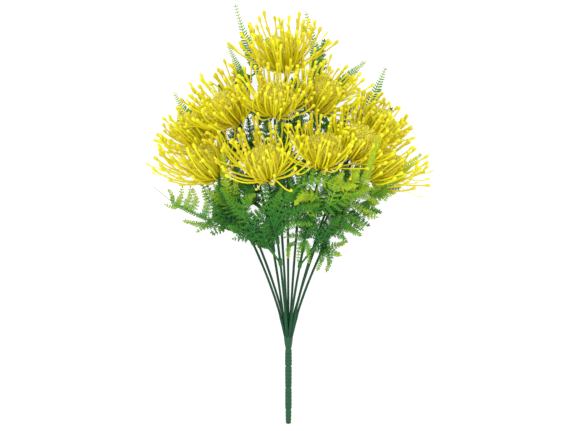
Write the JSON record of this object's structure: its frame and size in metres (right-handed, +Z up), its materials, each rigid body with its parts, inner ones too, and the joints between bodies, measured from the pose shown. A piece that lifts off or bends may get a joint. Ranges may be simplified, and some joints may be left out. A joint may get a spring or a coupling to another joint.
{
  "type": "artificial pincushion protea bush",
  "caption": "Artificial pincushion protea bush lying down: yellow heads of long curved styles and green fern sprays on wired stems joined in one moulded handle.",
  "frame": {"origin": "centre of the bounding box in plan, at the surface that the bush lies on", "axes": "+Y along the bush from the handle's tip to the flowers, +Z up away from the surface it lies on, +X to the right of someone looking down with the flowers ahead"},
  "size_m": [0.2836, 0.421, 0.1677],
  "materials": {
    "handle": "moulded dark green plastic, satin",
    "stem": "dark green plastic skin over a wire, matt",
    "flower_centre": "fine moulded bristle in dull golden yellow, matt",
    "styles": "bright yellow soft plastic with moulded knobs, satin",
    "fern": "soft green plastic, paler and yellower toward the tips, satin"
  },
  "bodies": {
    "root": {"fern_collar_right": "fern", "fern_edge_right": "fern", "fern_front_far_left": "fern", "fern_front_left": "fern", "fern_front_middle": "fern", "fern_front_right": "fern", "fern_low_left": "fern", "fern_low_right": "fern", "fern_pale_right": "fern", "fern_rear_left": "fern", "fern_rear_right": "fern", "fern_shoulder_left": "fern", "fern_shoulder_right": "fern", "fern_side_left": "fern", "fern_side_left_high": "fern", "fern_side_left_low": "fern", "fern_sweep_far_right": "fern", "fern_sweep_right": "fern", "fern_top_left": "fern", "fern_top_right": "fern", "flower_front_left_centre": "flower_centre", "flower_front_left_styles": "styles", "flower_front_right_centre": "flower_centre", "flower_front_right_styles": "styles", "flower_inner_right_centre": "flower_centre", "flower_inner_right_styles": "styles", "flower_left_centre": "flower_centre", "flower_left_styles": "styles", "flower_rear_left_centre": "flower_centre", "flower_rear_left_styles": "styles", "flower_rear_right_centre": "flower_centre", "flower_rear_right_styles": "styles", "flower_right_centre": "flower_centre", "flower_right_styles": "styles", "flower_top_centre": "flower_centre", "flower_top_styles": "styles", "flower_upper_left_centre": "flower_centre", "flower_upper_left_styles": "styles", "flower_upper_middle_centre": "flower_centre", "flower_upper_middle_styles": "styles", "flower_upper_right_centre": "flower_centre", "flower_upper_right_styles": "styles", "handle": "handle", "stem_front_left": "stem", "stem_front_right": "stem", "stem_inner_right": "stem", "stem_left": "stem", "stem_rear_left": "stem", "stem_rear_right": "stem", "stem_right": "stem", "stem_top": "stem", "stem_upper_left": "stem", "stem_upper_middle": "stem", "stem_upper_right": "stem"}
  },
  "joints": []
}
